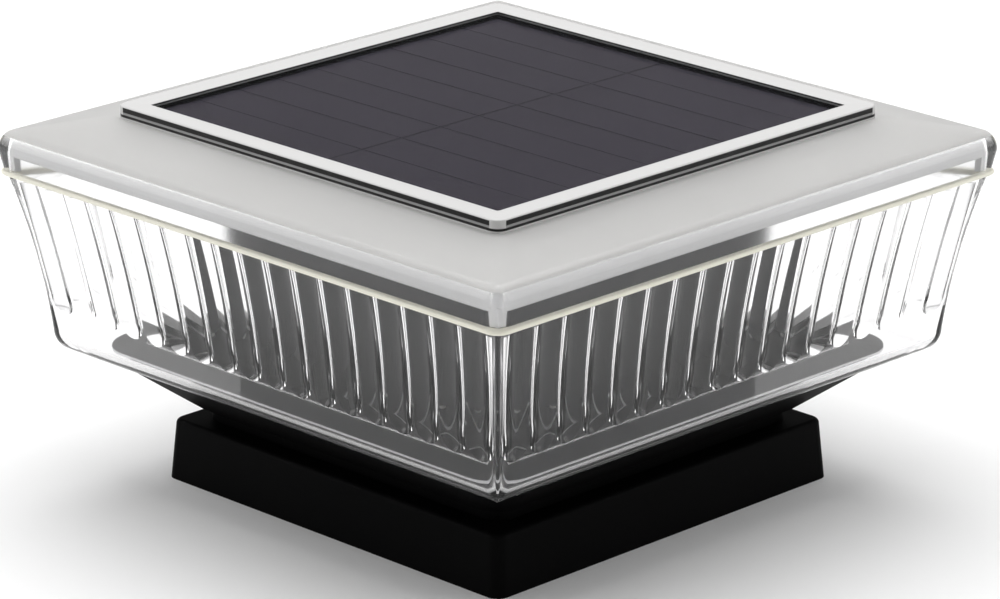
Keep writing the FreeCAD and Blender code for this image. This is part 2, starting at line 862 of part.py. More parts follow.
def make_seals():
    lens_seal_side = size("tray_side") - size("slide_gap") * 2
    corner = size("tray_corner")
    framed_ring("lens_seal", lens_seal_side, corner, size("lens_seal_width"),
                tray_rim, size("lens_seal_thickness"))
    framed_ring("rim_seal", lens_top_side, size("lens_corner"), size("rim_seal_width"),
                lens_top, size("rim_seal_thickness"))
    framed_ring("housing_seal", size("housing_side"), size("housing_corner"),
                size("housing_wall"), housing_top, size("housing_seal_thickness"))
    framed_ring("column_seal", size("column_side"), size("column_corner"),
                size("column_seal_width"), tray_floor_top, size("column_seal_thickness"))


# ---- Light engine ----

def make_engine_housing():
    framed_ring("engine_housing", size("housing_side"), size("housing_corner"),
                size("housing_wall"), housing_foot, size("housing_height"))


def make_engine_floor():
    body = new_body("engine_floor_moulding")
    plate = new_sketch(body, "floor_plate", engine_floor_foot)
    add_rounded_square(plate, size("housing_side"), size("housing_corner"))
    pad(body, plate, size("floor_thickness"))

    spigot = new_sketch(body, "floor_spigot", housing_foot)
    add_square(spigot, spigot_side)
    add_square(spigot, spigot_side - size("spigot_wall") * 2)
    pad(body, spigot, size("spigot_height"))

    posts = new_sketch(body, "floor_posts", housing_foot)
    add_corner_squares(posts, engine_screw_spot, size("post_side"))
    pad(body, posts, size("post_height"))

    column = new_sketch(body, "column", column_foot)
    add_rounded_square(column, size("column_side"), size("column_corner"))
    pad(body, column, engine_floor_foot - column_foot)

    shaft = new_sketch(body, "column_hollow", column_floor_top)
    add_square(shaft, column_inner_side)
    pocket(body, shaft, engine_floor_foot - column_floor_top)

    leads = new_sketch(body, "lead_opening", engine_floor_foot)
    add_square(leads, size("lead_opening_side"))
    pocket(body, leads, size("floor_thickness"))

    bosses = new_sketch(body, "column_bosses", column_floor_top)
    add_corner_squares(bosses, tray_screw_spot, size("column_boss_side"))
    pad(body, bosses, size("column_boss_height"))

    hole = new_sketch(body, "switch_hole", column_foot)
    add_circle(hole, 0, 0, size("switch_barrel_radius") + size("pilot_gap"))
    pocket(body, hole, size("column_floor"))

    add_board_rails(body)

    holes = holes_at("column_pilot", corner_spots(tray_screw_spot),
                     size("screw_radius") + size("pilot_gap"), column_foot,
                     size("column_floor") + size("column_boss_height") - size("column_wall"))
    holes += holes_at("engine_screw_hole", corner_spots(engine_screw_spot),
                      size("screw_radius") + size("hole_gap"), engine_floor_foot,
                      engine_post_top - engine_floor_foot)
    small_radius = size("small_screw_radius") + size("pilot_gap")
    holes += holes_at("rail_pilot", board_screw_spots(), small_radius, housing_foot,
                      size("rail_height"))
    holes += holes_at("led_board_pilot", led_screw_spots(), small_radius, engine_floor_foot,
                      size("small_screw_grip") + size("slide_gap"))
    return cut("engine_floor", body, join("engine_floor_holes", holes))


def rail_reach():
    """How far the rails' middles, and the board screws, lie from the board's middle."""
    return size("main_board_length") / 2 - size("rail_inset") - size("rail_width") / 2


def board_screw_spots():
    """Two screws, at opposite ends of the main board, one in each rail."""
    along = size("main_board_width") / 2 - size("rail_width")
    return [(rail_reach(), main_board_spot + along), (-rail_reach(), main_board_spot - along)]


def led_screw_spots():
    return [(led_row, led_row), (-led_row, -led_row)]


def add_board_rails(body):
    """Two rails on the floor that carry the main board."""
    rails = new_sketch(body, "board_rails", housing_foot)
    front = main_board_spot - size("main_board_width") / 2
    back = main_board_spot + size("main_board_width") / 2
    for side in (1, -1):
        middle = rail_reach() * side
        half = size("rail_width") / 2
        add_rectangle(rails, middle - half, middle + half, front, back)
    pad(body, rails, size("rail_height"))


# ---- Boards ----

def make_led_board():
    sheet = sharp_ring("led_board_sheet", size("led_board_side"),
                       size("column_side") + size("slide_gap") * 2,
                       led_board_foot, size("board_thickness"))
    holes = holes_at("led_board_hole", led_screw_spots(),
                     size("small_screw_radius") + size("hole_gap"), led_board_foot,
                     size("board_thickness"))
    cut("led_board", sheet, join("led_board_holes", holes))

    lamps = []
    for side in range(4):
        for number in range(led_count_per_side):
            along = size("led_spacing") * (number - (led_count_per_side - 1) / 2)
            away = led_row * (1 if side < 2 else -1)
            upright = side % 2 == 0
            x, y = (away, along) if upright else (along, away)
            length = size("led_width") if upright else size("led_length")
            width = size("led_length") if upright else size("led_width")
            lamps.append(block("led_%d_%d" % (side, number), length, width, size("led_height"),
                               x, y, led_board_foot - size("led_height")))
    gather("led_chips", lamps)


def make_main_board():
    board = block("board_sheet", size("main_board_length"), size("main_board_width"),
                  size("board_thickness"), 0, main_board_spot, main_board_foot)
    holes = holes_at("board_hole", board_screw_spots(),
                     size("small_screw_radius") + size("hole_gap"), main_board_foot,
                     size("board_thickness"))
    cut("main_board", board, join("board_holes", holes))
    make_board_parts()


def make_board_parts():
    """Control chip, coil, capacitor and three plugs, in two rows on the main board."""
    top = main_board_foot + size("board_thickness")
    step = size("part_spacing")
    back = main_board_spot + step / 2
    front = main_board_spot - step / 2
    parts = [
        block("control_chip", size("chip_side"), size("chip_side"), size("chip_height"),
              0, back, top),
        prism("coil", head_sides, size("coil_radius"), size("coil_height"), -step, back, top),
        prism("capacitor", head_sides, size("capacitor_radius"), size("capacitor_height"),
              step, back, top),
    ]
    for number in range(3):
        parts.append(block("lead_plug_%d" % number, size("plug_length"), size("plug_width"),
                           size("plug_height"), step * (number - 1), front, top))
    gather("board_parts", parts)


# ---- Rechargeable cell ----

def lying_rod(name, radius, length, start_x, y, z):
    """A rod along +X that starts at start_x."""
    thing = rod(name, radius, length, start_x, y, z)
    thing.Placement.Rotation = FreeCAD.Rotation(Vector(0, 1, 0), 90)
    return thing


def make_cell():
    axis_height = housing_foot + size("holder_wall") + size("slide_gap") + size("cell_radius")
    bay_length = (size("contact_thickness") * 2 + size("spring_length") + size("cell_length")
                  + size("cell_tip_length"))
    start = size("contact_thickness") + size("spring_length") - bay_length / 2
    can = lying_rod("cell_can", size("cell_radius"), size("cell_length"), start, holder_spot,
                    axis_height)
    tip_length = size("cell_length") + size("cell_tip_length")
    tip = lying_rod("cell_tip", size("cell_tip_radius"), tip_length, start, holder_spot,
                    axis_height)
    join("battery_cell", [can, tip])

    outer = block("holder_block", bay_length + size("holder_wall") * 2, holder_width,
                  size("holder_height"), 0, holder_spot, housing_foot)
    inner = block("holder_bay", bay_length, holder_width - size("holder_wall") * 2,
                  size("holder_height"), 0, holder_spot, housing_foot + size("holder_wall"))
    cut("battery_holder", outer, inner)

    half_contact = size("contact_thickness") / 2
    contact_foot = axis_height - size("contact_side") / 2
    block("contact_plate", size("contact_thickness"), size("contact_side"), size("contact_side"),
          bay_length / 2 - half_contact, holder_spot, contact_foot)
    backing = block("spring_sheet", size("contact_thickness"), size("contact_side"),
                    size("contact_side"), half_contact - bay_length / 2, holder_spot, contact_foot)
    coil = doc.addObject("Part::Cone", "spring_cone")
    bind(coil, "Radius1", size("spring_foot_radius"))
    bind(coil, "Radius2", size("spring_tip_radius"))
    bind(coil, "Height", size("spring_length") + half_contact)
    place(coil, half_contact - bay_length / 2, holder_spot, axis_height)
    coil.Placement.Rotation = FreeCAD.Rotation(Vector(0, 1, 0), 90)
    join("contact_spring", [backing, coil])


# ---- Switch ----

def make_switch():
    flange = rod("switch_flange", size("switch_flange_radius"), size("switch_flange_height"),
                 0, 0, flange_foot)
    barrel = rod("switch_barrel", size("switch_barrel_radius"), size("switch_barrel_height"),
                 0, 0, column_foot)
    terminals = []
    for side in (-1, 1):
        terminals.append(block("terminal_%d" % (side + 1), size("terminal_thickness"),
                               size("terminal_width"), size("terminal_height"),
                               size("terminal_spot") * side, 0, barrel_top))
    solid = join("switch_solid", [flange, barrel] + terminals)
    bore_radius = size("button_radius") + size("slide_gap")
    bore = rod("switch_bore", bore_radius, size("switch_bore_depth"), 0, 0, flange_foot)
    cut("switch_body", solid, bore)

    hexagon = doc.addObject("Part::Prism", "nut_hexagon")
    hexagon.Polygon = 6
    bind(hexagon, "Circumradius", size("nut_radius"))
    bind(hexagon, "Height", size("nut_height"))
    place(hexagon, 0, 0, column_floor_top)
    bore_radius = size("switch_barrel_radius") + size("pilot_gap")
    thread = rod("nut_bore", bore_radius, size("nut_height"), 0, 0, column_floor_top)
    cut("switch_nut", hexagon, thread)

    body = new_body("switch_button")
    outline = new_sketch(body, "button_outline", button_foot)
    add_circle(outline, 0, 0, size("button_radius"))
    rest_top = flange_foot + size("switch_bore_depth") - size("button_travel") - size("slide_gap")
    pad(body, outline, rest_top - button_foot)
    bevel_edges(body, button_foot, as_size(0), size("button_bevel"), "button_edge")


# ---- Screws ----

def make_screws():
    grip = size("screw_grip")
    base_head = socket_roof + size("hole_gap")
    base_seat = base_head + size("screw_head_height")
    screws_at("base_screws", corner_spots(base_screw_spot), base_head,
              tray_floor_top - base_seat + grip)
    tray_head = neck_top - size("screw_head_height")
    screws_at("tray_screws", corner_spots(tray_screw_spot), tray_head,
              column_floor_top - neck_top + grip)
    engine_head = engine_floor_foot - size("screw_head_height")
    screws_at("engine_screws", corner_spots(engine_screw_spot), engine_head,
              engine_post_top - engine_floor_foot + grip)
    small_grip = size("board_thickness") + size("small_screw_grip")
    screws_at("led_screws", led_screw_spots(), led_board_foot - size("small_head_height"),
              small_grip, small=True)
    screws_at("board_screws", board_screw_spots(), main_board_foot + size("board_thickness"),
              small_grip, small=True, upward=False)


node_names = (
    "post_base", "tray", "lens", "lens_seal", "rim_seal", "top_cover", "panel_bezel",
    "panel_tape", "panel_board", "solar_cells", "panel_resin", "housing_seal",
    "engine_housing", "engine_floor", "engine_screws", "led_board", "led_chips",
    "led_screws", "main_board", "board_parts", "board_screws", "battery_cell",
    "battery_holder", "contact_plate", "contact_spring", "switch_body", "switch_nut",
    "switch_button", "column_seal", "tray_screws", "base_screws",
)


def check_document():
    """Stops before anything is written if a feature failed or a piece isn't sound."""
    for thing in doc.Objects:
        if "Invalid" in thing.State or "Error" in thing.State:
            raise ValueError("%s is %s" % (thing.Name, thing.State))
    for name in node_names:
        shape = doc.getObject(name).Shape
        if shape.isNull() or not shape.isValid() or shape.Volume <= 0:
            raise ValueError("%s isn't a sound solid" % name)


def write_parts():
    for name in node_names:
        shape = doc.getObject(name).Shape
        shape.exportStep("parts/%s.step" % name)
        print("%-16s solids %2d volume %10.1f" % (name, len(shape.Solids), shape.Volume))


make_post_base()
make_tray()
make_lens()
make_top_cover()
make_panel_bezel()
make_solar_panel()
make_seals()
make_engine_housing()
make_engine_floor()
make_led_board()
make_main_board()
make_cell()
make_switch()
make_screws()
doc.recompute()
check_document()
write_parts()
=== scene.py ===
import bmesh
import bpy
import json
import math
from mathutils import Matrix, Vector

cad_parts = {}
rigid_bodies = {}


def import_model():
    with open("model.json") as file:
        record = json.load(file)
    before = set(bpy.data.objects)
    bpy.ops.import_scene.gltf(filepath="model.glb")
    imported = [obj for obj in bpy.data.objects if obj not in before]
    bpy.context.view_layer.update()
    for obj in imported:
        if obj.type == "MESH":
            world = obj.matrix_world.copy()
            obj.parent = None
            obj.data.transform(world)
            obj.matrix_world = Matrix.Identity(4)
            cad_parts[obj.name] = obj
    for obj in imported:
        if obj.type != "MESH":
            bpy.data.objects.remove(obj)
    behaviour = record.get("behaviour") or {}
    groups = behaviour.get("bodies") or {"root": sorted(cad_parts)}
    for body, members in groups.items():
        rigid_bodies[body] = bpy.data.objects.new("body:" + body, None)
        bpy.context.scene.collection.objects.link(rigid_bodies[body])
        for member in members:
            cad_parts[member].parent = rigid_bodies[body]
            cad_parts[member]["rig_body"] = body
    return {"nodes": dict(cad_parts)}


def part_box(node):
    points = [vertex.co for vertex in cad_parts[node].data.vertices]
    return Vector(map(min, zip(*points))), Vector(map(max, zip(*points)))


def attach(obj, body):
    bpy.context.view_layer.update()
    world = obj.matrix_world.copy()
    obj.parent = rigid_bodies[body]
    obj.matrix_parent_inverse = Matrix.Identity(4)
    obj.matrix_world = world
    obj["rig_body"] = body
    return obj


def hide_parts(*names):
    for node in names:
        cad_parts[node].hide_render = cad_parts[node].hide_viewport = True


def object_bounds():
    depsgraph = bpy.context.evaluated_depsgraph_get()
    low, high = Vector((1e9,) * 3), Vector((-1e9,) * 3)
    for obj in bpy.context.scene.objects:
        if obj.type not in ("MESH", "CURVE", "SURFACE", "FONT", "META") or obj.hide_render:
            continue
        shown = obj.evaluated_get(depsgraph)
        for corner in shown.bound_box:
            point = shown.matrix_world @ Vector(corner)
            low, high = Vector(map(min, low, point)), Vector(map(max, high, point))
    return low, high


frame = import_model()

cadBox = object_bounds()
mm = 0.001
weldGap = 0.0005 * mm
tolerance = 0.001 * mm
leastCorner = 0.3 * mm
nodes = frame["nodes"]
cornerSigns = ((1, 1), (-1, 1), (-1, -1), (1, -1))


# Mesh helpers: every finished piece keeps its object at the origin.

def meshFrom(bm, name, sharpAngle):
    # smooth faces, with the edges over an angle kept sharp
    limit = math.radians(sharpAngle)
    for face in bm.faces:
        face.smooth = True
    for edge in bm.edges:
        edge.smooth = len(edge.link_faces) == 2 and edge.calc_face_angle(0) < limit
    mesh = bpy.data.meshes.new(name)
    bm.to_mesh(mesh)
    bm.free()
    return mesh


def addPiece(name, bm, sharpAngle, nodeName, material):
    # a piece rides the body of the node that it replaces
    mesh = meshFrom(bm, name, sharpAngle)
    mesh.materials.append(material)
    piece = bpy.data.objects.new(name, mesh)
    bpy.context.scene.collection.objects.link(piece)
    evenOut = piece.modifiers.new("evenOut", "WEIGHTED_NORMAL")  # flats stay flat beside rounds
    evenOut.keep_sharp = True
    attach(piece, nodes[nodeName]["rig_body"])
    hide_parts(nodeName)


def vertsIn(geometry):
    return [item for item in geometry if isinstance(item, bmesh.types.BMVert)]


def fourSpots(reach):
    return [(reach * signX, reach * signY) for signX, signY in cornerSigns]


# Square moulded shells: a rounded square outline, drawn through levels of
# (half side, corner radius, height) by extruding its edges.

def startOutline(bm, level, segments):
    half, corner, height = level
    bmesh.ops.create_grid(bm, x_segments=1, y_segments=1, size=half,
                          matrix=Matrix.Translation((0, 0, height)))
    bmesh.ops.bevel(bm, geom=bm.verts[:], offset=corner, offset_type="OFFSET", segments=segments,
                    profile=0.5, affect="VERTICES", material=-1)
    bmesh.ops.delete(bm, geom=bm.faces[:], context="FACES_ONLY")
    return bm.edges[:]


def moveOutline(bm, verts, old, new):
    oldHalf, oldCorner, oldHeight = old
    newHalf, newCorner, newHeight = new
    ratio = newCorner / oldCorner
    oldReach, newReach = oldHalf - oldCorner, newHalf - newCorner
    for signX, signY in cornerSigns:
        group = [vert for vert in verts if vert.co.x * signX > 0 and vert.co.y * signY > 0]
        oldCentre = Vector((signX * oldReach, signY * oldReach, oldHeight))
        newCentre = Vector((signX * newReach, signY * newReach, newHeight))
        bmesh.ops.translate(bm, verts=group, vec=-oldCentre)
        bmesh.ops.scale(bm, verts=group, vec=(ratio, ratio, 1))
        bmesh.ops.translate(bm, verts=group, vec=newCentre)


def drawShell(levels, segments, ring=False):
    # ring: the last outline is bridged to the first, and otherwise both are capped
    bm = bmesh.new()
    edges = startOutline(bm, levels[0], segments)
    first = edges
    for old, new in zip(levels, levels[1:]):
        made = bmesh.ops.extrude_edge_only(bm, edges=edges)["geom"]
        moveOutline(bm, vertsIn(made), old, new)
        edges = [item for item in made
                 if isinstance(item, bmesh.types.BMEdge) and len(item.link_faces) == 1]
    if ring:
        bmesh.ops.bridge_loops(bm, edges=first + edges)
    else:
        bmesh.ops.contextual_create(bm, geom=first)
        bmesh.ops.contextual_create(bm, geom=edges)
    bmesh.ops.remove_doubles(bm, verts=bm.verts, dist=weldGap)
    bmesh.ops.recalc_face_normals(bm, faces=bm.faces)
    return bm


def roundLevels(half, corner, centre, radius, start, end, steps):
    # an arc of the wall, its angles up from level
    levels = []
    for step in range(steps + 1):
        angle = math.radians(start + (end - start) * step / steps)
        inset = radius * (1 - math.cos(angle))
        levels.append((half - inset, max(corner - inset, leastCorner),
                       centre + radius * math.sin(angle)))
    return levels


def tempMesh(bm):
    mesh = bpy.data.meshes.new("temp")
    bm.to_mesh(mesh)
    bm.free()
    return mesh


def combine(bm, toolBm, operation):
    # an exact boolean of two closed shapes, handed back as one bmesh
    base = bpy.data.objects.new("base", tempMesh(bm))
    tool = bpy.data.objects.new("tool", tempMesh(toolBm))
    for item in (base, tool):
        bpy.context.scene.collection.objects.link(item)
    joint = base.modifiers.new("joint", "BOOLEAN")
    joint.operation = operation
    joint.solver = "EXACT"
    joint.object = tool
    graph = bpy.context.evaluated_depsgraph_get()
    made = bmesh.new()
    made.from_mesh(bpy.data.meshes.new_from_object(base.evaluated_get(graph)))
    bpy.data.objects.remove(base)
    bpy.data.objects.remove(tool)
    bmesh.ops.remove_doubles(made, verts=made.verts, dist=weldGap)
    bmesh.ops.dissolve_degenerate(made, dist=weldGap, edges=made.edges)
    return made


def carve(shell, added, holes):
    return combine(combine(shell, added, "UNION"), holes, "DIFFERENCE")


def addBlock(bm, half, depth, x, y, foot):
    # a square block that stands on its foot
    bmesh.ops.create_cube(bm, size=1.0, matrix=Matrix.Translation((x, y, foot + depth / 2))
                          @ Matrix.Diagonal((half * 2, half * 2, depth, 1)))


def addRod(bm, radius, depth, x, y, foot, segments=24):
    bmesh.ops.create_cone(bm, cap_ends=True, segments=segments, radius1=radius, radius2=radius,
                          depth=depth, matrix=Matrix.Translation((x, y, foot + depth / 2)))


# Lens: a clear flared wall, smooth outside, with upright reeds on its inner faces.

lensShape = {
    "inset": 1.0 * mm,         # keeps the width over the corners, sharper here than the part's
    "flare": 6.5 * mm,         # how far each side leans out from foot to top
    "bow": 1.0 * mm,           # how far the outer face is drawn in between them
    "bowRuns": 12,
    "corner": 2.8 * mm,
    "innerCorner": 0.6 * mm,
    "openingCorner": 0.8 * mm,
    "footRound": 5.4 * mm,
    "wall": 2.4 * mm,
    "floor": 2.2 * mm,
    "topGap": 0.12 * mm,       # room for the bead
    "innerRound": 2.8 * mm,
    "flange": 5.8 * mm,        # how far the floor reaches over the tray
    "reedCount": 18,           # on each side
    "reedPitch": 7.26 * mm,    # at the foot; the reeds spread with the flare
    "reedHalf": 3.5 * mm,
    "reedRise": 0.95 * mm,
    "reedRoot": 0.7 * mm,
    "reedSunk": 0.02 * mm,     # the reeds' edges end just inside the wall
    "reedFootGap": 4.3 * mm,
    "reedHeadGap": 0.5 * mm,
    "reedSteps": 10,           # across half a reed
    "domeSteps": 14,
}
lensLow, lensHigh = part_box("lens")
lensDepth = lensHigh.z - lensLow.z


def lensHalf(height):
    share = (height - lensLow.z) / lensDepth
    return lensHigh.x - lensShape["inset"] - lensShape["flare"] * (1 - share)


def lensOuterHalf(height):
    share = (height - lensLow.z) / lensDepth
    return lensHalf(height) - lensShape["bow"] * 4 * share * (1 - share)


def lensLevels():
    look = lensShape
    corner, innerCorner = look["corner"], look["innerCorner"]
    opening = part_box("tray")[1].x - look["flange"]
    centre = lensLow.z + look["footRound"]
    levels = [(opening, look["openingCorner"], lensLow.z)]
    levels += roundLevels(lensOuterHalf(centre), corner, centre, look["footRound"],
                          start=-90, end=0, steps=10)
    top = lensHigh.z - look["topGap"]
    for run in range(1, look["bowRuns"] + 1):
        height = centre + (top - centre) * run / look["bowRuns"]
        levels.append((lensOuterHalf(height), corner, height))
    levels.append((lensHalf(top) - look["wall"], innerCorner, top))
    centre = lensLow.z + look["floor"] + look["innerRound"]
    levels += roundLevels(lensHalf(centre) - look["wall"], innerCorner, centre,
                          look["innerRound"], start=0, end=-90, steps=8)
    levels.append((opening, look["openingCorner"], lensLow.z + look["floor"]))
    return levels


def makeReedForm(length):
    # half an arc spun into a round foot, its open edge drawn up along Z, and both ends closed
    look = lensShape
    half, rise, root = look["reedHalf"], look["reedRise"], look["reedRoot"]
    radius = (half * half + rise * rise) / (2 * rise)
    spread = math.asin(half / radius)
    bm = bmesh.new()
    verts = [bm.verts.new((root, -half, 0))]
    for step in range(look["reedSteps"] + 1):
        angle = spread * (1 - step / look["reedSteps"])
        verts.append(bm.verts.new((radius - rise + look["reedSunk"] - radius * math.cos(angle),
                                   -radius * math.sin(angle), 0)))
    edges = [bm.edges.new(pair) for pair in zip(verts, verts[1:])]
    bmesh.ops.spin(bm, geom=verts + edges, axis=(1, 0, 0), cent=(0, 0, 0), angle=math.pi,
                   steps=look["domeSteps"], use_merge=False)
    bmesh.ops.remove_doubles(bm, verts=bm.verts, dist=weldGap)
    rim = [edge for edge in bm.edges if len(edge.link_faces) == 1
           and all(abs(vert.co.z) < tolerance for vert in edge.verts)]
    top = vertsIn(bmesh.ops.extrude_edge_only(bm, edges=rim)["geom"])
    bmesh.ops.translate(bm, verts=top, vec=(0, 0, length))
    bmesh.ops.contextual_create(bm, geom=[vert for vert in top if vert.co.x > root / 2])
    for closes in (lambda vert: abs(vert.co.z - length) < tolerance,
                   lambda vert: abs(vert.co.x - root) < tolerance):
        loop = [edge for edge in bm.edges if all(closes(vert) for vert in edge.verts)]
        bmesh.ops.contextual_create(bm, geom=loop)
    bmesh.ops.recalc_face_normals(bm, faces=bm.faces)
    return tempMesh(bm)


def makeReeds():
    look = lensShape
    floorEnd = lensLow.z + look["floor"] + look["innerRound"]
    footHeight = floorEnd + look["reedFootGap"] + look["reedHalf"]
    headHeight = lensHigh.z - look["reedHeadGap"]
    low = lensHalf(footHeight) - look["wall"]
    high = lensHalf(headHeight) - look["wall"]
    form = makeReedForm(math.hypot(headHeight - footHeight, high - low))
    out = Vector((headHeight - footHeight, 0, low - high)).normalized()
    bm = bmesh.new()
    for number in range(look["reedCount"]):
        spot = (number - (look["reedCount"] - 1) / 2) * look["reedPitch"]
        foot = Vector((low, spot, footHeight))
        along = (Vector((high, spot * high / low, headHeight)) - foot).normalized()
        across = along.cross(out)
        turn = Matrix((out, across, along)).transposed().to_4x4()
        for side in range(4):
            before = set(bm.verts)
            bm.from_mesh(form)
            place = Matrix.Rotation(side * math.pi / 2, 4, "Z") @ Matrix.Translation(foot) @ turn
            bmesh.ops.transform(bm, matrix=place,
                                verts=[vert for vert in bm.verts if vert not in before])
    bmesh.ops.recalc_face_normals(bm, faces=bm.faces)
    return bm


def makeLens():
    return combine(drawShell(lensLevels(), segments=12, ring=True), makeReeds(), "UNION")


# Top cover: a frosted roof on a clear rim. The roof carries the panel's seat and the four
# bosses that the light engine is screwed to, and a rib hangs behind the rim.

coverShape = {
    "inset": 0.7 * mm,
    "flare": 0.8 * mm,
    "rimRise": 4.4 * mm,
    "shoulderRound": 4.2 * mm,
    "splitAngle": 46,          # degrees up from level, where the rim ends and the roof starts
    "shoulderEnd": 75,
    "corner": 3.6 * mm,
    "ledge": 1.8 * mm,         # the level strip round the panel's frame
    "ledgeDrop": 1.0 * mm,
    "ledgeCorner": 2.4 * mm,
    "wall": 2.2 * mm,
    "innerCorner": 1.2 * mm,
    "gap": 0.02 * mm,          # between the rim and the roof
    "ribFoot": 71.4 * mm,
    "ribWall": 1.4 * mm,
    "ribGap": 0.15 * mm,
    "legHalf": 0.9 * mm,
    "legInset": 0.1 * mm,
    "legGap": 0.2 * mm,
    "seatGap": 0.4 * mm,
    "seatCorner": 0.6 * mm,
    "screwHead": 2.8 * mm,
    "bossHalf": 3.7 * mm,
    "bossRoot": 0.9 * mm,      # how far a boss reaches up into the roof
    "cutStart": 1.0 * mm,      # how far below the plastic a hole's cutter starts
    "pilot": 1.5 * mm,
    "pilotDepth": 5.0 * mm,
    "leadHole": 3.7 * mm,
    "leadDepth": 6.0 * mm,
}
coverHalf = cadBox[1].x - coverShape["inset"]
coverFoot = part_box("rim_seal")[1].z
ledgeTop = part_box("top_cover")[1].z - coverShape["ledgeDrop"]


def shoulder(start, end, steps):
    look = coverShape
    return roundLevels(coverHalf, look["corner"], coverFoot + look["rimRise"],
                       look["shoulderRound"], start, end, steps)


def makeRoof():
    look = coverShape
    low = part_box("top_cover")[0].z
    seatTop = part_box("panel_tape")[0].z
    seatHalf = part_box("panel_board")[1].x + look["seatGap"]
    levels = [(seatHalf, look["seatCorner"], seatTop), (seatHalf, look["seatCorner"], ledgeTop)]
    levels.append((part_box("panel_bezel")[1].x + look["ledge"], look["ledgeCorner"], ledgeTop))
    levels += shoulder(look["shoulderEnd"], look["splitAngle"], steps=6)
    foot = levels[-1][2]
    bossDepth = foot + look["bossRoot"] - low
    bosses, holes = bmesh.new(), bmesh.new()
    for x, y in fourSpots(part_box("engine_screws")[1].x - look["screwHead"]):
        addBlock(bosses, look["bossHalf"], bossDepth, x, y, low)
        addRod(holes, look["pilot"], look["pilotDepth"], x, y, low - look["cutStart"])
    addRod(holes, look["leadHole"], look["leadDepth"], 0, 0, foot - look["cutStart"], segments=48)
    return carve(drawShell(levels, segments=12), bosses, holes)


def makeRib():
    # the rib hangs just behind the rim, and has a short leg at each corner
    look = coverShape
    top = shoulder(0, look["splitAngle"], steps=1)[-1][2] - look["gap"]
    half = coverHalf - look["flare"] - look["wall"] - look["ribGap"]
    tipRound = look["ribWall"] / 2
    tipCentre = look["ribFoot"] + tipRound
    levels = [(half, look["innerCorner"], top)]
    levels += roundLevels(half, look["innerCorner"], tipCentre, tipRound,
                          start=0, end=-180, steps=10)
    levels.append((half - look["ribWall"], leastCorner, top))
    legs = bmesh.new()
    legFoot = coverFoot + look["legGap"]
    for x, y in fourSpots(half - look["legHalf"] - look["legInset"]):
        addBlock(legs, look["legHalf"], tipCentre - legFoot, x, y, legFoot)
    return combine(drawShell(levels, segments=8, ring=True), legs, "UNION")


def makeRim():
    look = coverShape
    outer = shoulder(0, look["splitAngle"], steps=10)
    top = outer[-1][2] - look["gap"]
    outer[-1] = (*outer[-1][:2], top)
    footHalf = coverHalf - look["flare"]
    inner = footHalf - look["wall"]
    levels = [(footHalf, look["corner"], coverFoot)] + outer
    levels += [(inner, look["innerCorner"], top), (inner, look["innerCorner"], coverFoot)]
    return drawShell(levels, segments=12, ring=True)


# Bead: the pale seal that shows as a line between the lens and the cover.

beadShape = {
    "proud": 0.35 * mm,
    "width": 2.4 * mm,         # behind its round edge
    "corner": 3.2 * mm,
    "innerCorner": 1.0 * mm,
    "lap": 0.05 * mm,          # how far it reaches up into the cover
}


def makeBead():
    look = beadShape
    foot = lensHigh.z - lensShape["topGap"]
    top = coverFoot + look["lap"]
    radius = (top - foot) / 2
    outer = coverHalf - coverShape["flare"] + look["proud"]
    inner = outer - radius - look["width"]
    levels = roundLevels(outer, look["corner"], (top + foot) / 2, radius,
                         start=-90, end=90, steps=8)
    levels += [(inner, look["innerCorner"], top), (inner, look["innerCorner"], foot)]
    return drawShell(levels, segments=12, ring=True)


# Panel frame: a square ring with softened edges and a rebate that holds the panel.

bezelShape = {
    "corner": 2.4 * mm,
    "edge": 0.4 * mm,
    "lipCover": 1.0 * mm,      # how far it laps over the panel
    "seatGap": 0.4 * mm,
    "innerCorner": 0.5 * mm,
}


def makeBezel():
    look = bezelShape
    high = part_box("panel_bezel")[1]
    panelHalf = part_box("panel_board")[1].x
    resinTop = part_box("panel_resin")[1].z
    seatHalf = panelHalf + look["seatGap"]
    windowHalf = panelHalf - look["lipCover"]
    corner, fine, edge = look["corner"], look["innerCorner"], look["edge"]
    levels = [(seatHalf, fine, ledgeTop), (high.x, corner, ledgeTop)]
    levels += roundLevels(high.x, corner, high.z - edge, edge, start=0, end=90, steps=5)
    levels += [(windowHalf + edge, fine, high.z), (windowHalf, fine, high.z - edge / 2)]
    levels += [(windowHalf, fine, resinTop), (seatHalf, fine, resinTop)]
    return drawShell(levels, segments=10, ring=True)


# Panel: a board that the cells are bedded in, and the resin poured over both.

panelShape = {
    "bed": 0.04 * mm,
    "resinGap": 0.01 * mm,
    "resinEdge": 0.15 * mm,
    "corner": 0.6 * mm,
}
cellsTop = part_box("solar_cells")[1].z


def makePanelBoard():
    look = panelShape
    low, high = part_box("panel_board")
    levels = [(high.x, look["corner"], low.z), (high.x, look["corner"], cellsTop - look["bed"])]
    return drawShell(levels, segments=4)


def makeResin():
    look = panelShape
    corner, edge = look["corner"], look["resinEdge"]
    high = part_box("panel_resin")[1]
    levels = [(high.x, corner, cellsTop + look["resinGap"])]
    levels += roundLevels(high.x, corner, high.z - edge, edge, start=0, end=90, steps=4)
    return drawShell(levels, segments=4)


# Lens seal: a pale gasket between tray and lens, which shows through the lens's floor.

sealShape = {
    "reach": 1.8 * mm,
    "innerHalf": 52.4 * mm,
    "corner": 8.0 * mm,
    "innerCorner": 1.2 * mm,
    "round": 0.35 * mm,
}


def makeLensSeal():
    look = sealShape
    low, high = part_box("lens_seal")
    half = high.x + look["reach"]
    centre = low.z + look["round"]
    levels = [(look["innerHalf"], look["innerCorner"], high.z),
              (look["innerHalf"], look["innerCorner"], low.z)]
    levels += roundLevels(half, look["corner"], centre, look["round"], start=-90, end=0, steps=4)
    levels.append((half, look["corner"], high.z))
    return drawShell(levels, segments=12, ring=True)


